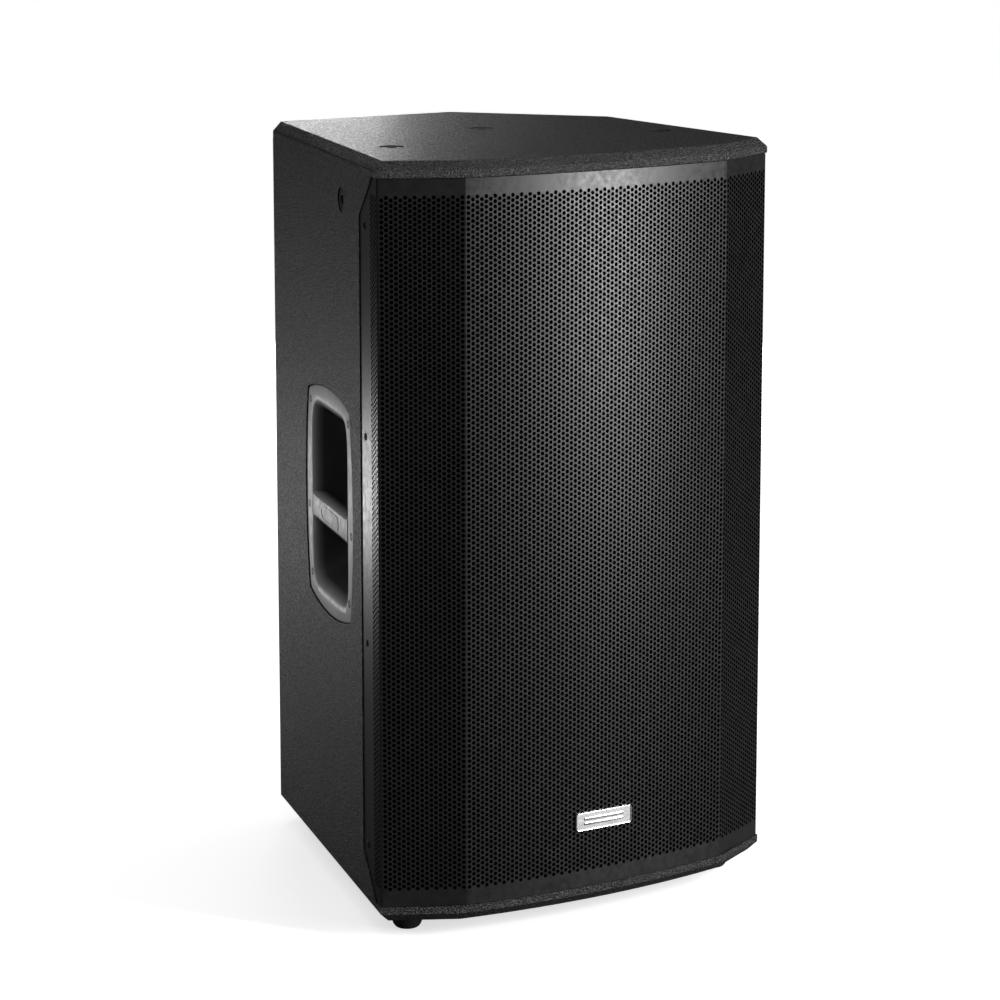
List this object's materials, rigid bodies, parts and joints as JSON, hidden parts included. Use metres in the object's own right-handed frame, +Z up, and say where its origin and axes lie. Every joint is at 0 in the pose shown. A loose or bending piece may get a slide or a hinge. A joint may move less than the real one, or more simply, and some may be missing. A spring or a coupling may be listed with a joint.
{
  "type": "pa loudspeaker cabinet",
  "caption": "Upright black wooden PA loudspeaker with a bowed perforated steel grille, grey recessed side handles, a slanted monitor side, rubber feet and an amplifier panel at the back.",
  "frame": {"origin": "centre of the cabinet's plan box, on the floor plane under its rubber feet", "axes": "+Z up, front grille faces -Y, +X to the right seen from the front"},
  "size_m": [0.427, 0.4354, 0.717],
  "materials": {
    "painted_plywood": "textured black cabinet paint, fine orange-peel grain",
    "bare_wood": "raw softwood",
    "baffle_paint": "flat black paint",
    "grille_steel": "satin black powder coat",
    "foam": "open-cell acoustic foam",
    "wadding": "polyester wadding",
    "handle_plastic": "satin moulded grey plastic",
    "black_plastic": "moulded black plastic",
    "rubber": "black rubber",
    "steel": "bright zinc-plated steel",
    "black_screws": "black oxide",
    "nameplate_metal": "satin anodised",
    "basket": "die-cast, grey coating",
    "magnet": "sintered ferrite",
    "cone": "pressed paper pulp",
    "cloth_surround": "impregnated cloth",
    "spider_cloth": "resin-dipped woven cloth",
    "copper": "enamelled winding",
    "titanium": "thin pressed foil",
    "pcb": "solder mask over glass laminate",
    "standoff_brass": "turned",
    "inlet_plastic": "moulded",
    "lens": "translucent",
    "light_plastic": "moulded",
    "cable_red": "cable sheath",
    "cable_green": "cable sheath",
    "amp_plate": "satin black powder coat",
    "heatsink_metal": "black anodised extrusion"
  },
  "bodies": {
    "cabinet": {"top_panel": "painted_plywood", "bottom_panel": "painted_plywood", "left_side_panel": "painted_plywood", "right_side_panel": "painted_plywood", "monitor_side_panel": "painted_plywood", "rear_panel": "painted_plywood", "front_baffle": "baffle_paint", "corner_battens": "bare_wood", "damping_wadding": "wadding", "grille": "grille_steel", "grille_foam": "foam", "grille_screws": "black_screws", "nameplate": "nameplate_metal", "left_handle": "handle_plastic", "right_handle": "handle_plastic", "handle_screws": "black_screws", "feet": "rubber", "foot_screws": "steel", "rigging_inserts": "steel", "pole_socket": "black_plastic", "pole_socket_screws": "steel", "woofer_basket": "basket", "woofer_gasket": "foam", "woofer_surround": "cloth_surround", "woofer_spider": "spider_cloth", "woofer_top_plate": "steel", "woofer_magnet": "magnet", "woofer_back_plate": "steel", "woofer_terminals": "black_plastic", "woofer_screws": "black_screws", "horn": "black_plastic", "horn_screws": "black_screws", "hf_front_plate": "steel", "hf_magnet": "magnet", "hf_back_plate": "steel", "hf_rear_cap": "black_plastic", "port_tubes": "black_plastic", "woofer_cable": "cable_red", "hf_cable": "cable_green", "amp_panel": "amp_plate", "amp_panel_screws": "black_screws", "heatsink": "heatsink_metal", "circuit_board": "pcb", "board_standoffs": "standoff_brass", "power_supply": "pcb", "power_inlet": "inlet_plastic", "rocker_switch_frame": "black_plastic", "level_pots": "steel", "preset_switch_body": "black_plastic", "xlr_connectors": "steel", "status_lenses": "lens"},
    "woofer_moving": {"woofer_cone": "cone", "woofer_dust_cap": "cone", "voice_coil": "copper"},
    "hf_moving": {"hf_diaphragm": "titanium"},
    "rocker_body": {"rocker": "black_plastic"},
    "input_knob": {"input_level_knob": "black_plastic"},
    "master_knob": {"master_level_knob": "black_plastic"},
    "button": {"preset_button": "light_plastic"},
    "latch": {"xlr_latch": "steel"}
  },
  "joints": [
    {"name": "woofer_excursion", "type": "slide", "parent": "cabinet", "child": "woofer_moving", "axis": [0, -1, 0], "range_m": [-0.008, 0.008], "stiffness_N_per_m": 2500, "deforming": ["woofer_surround", "woofer_spider"]},
    {"name": "hf_excursion", "type": "slide", "parent": "cabinet", "child": "hf_moving", "axis": [0, -1, 0], "range_m": [-0.0004, 0.0004], "stiffness_N_per_m": 400},
    {"name": "power_rocker", "type": "hinge", "parent": "cabinet", "child": "rocker_body", "pos_m": [0.047, 0.1957, 0.249], "axis": [-1, 0, 0], "range_deg": [0, 18]},
    {"name": "input_level_turn", "type": "hinge", "parent": "cabinet", "child": "input_knob", "pos_m": [0.055, 0.1957, 0.457], "axis": [0, 1, 0], "range_deg": [-150, 150]},
    {"name": "master_level_turn", "type": "hinge", "parent": "cabinet", "child": "master_knob", "pos_m": [-0.049, 0.1957, 0.457], "axis": [0, 1, 0], "range_deg": [-150, 150]},
    {"name": "preset_button_press", "type": "slide", "parent": "cabinet", "child": "button", "axis": [0, -1, 0], "range_m": [0, 0.0015], "stiffness_N_per_m": 120},
    {"name": "xlr_latch_press", "type": "slide", "parent": "cabinet", "child": "latch", "axis": [0, -1, 0], "range_m": [0, 0.0015], "stiffness_N_per_m": 150}
  ]
}
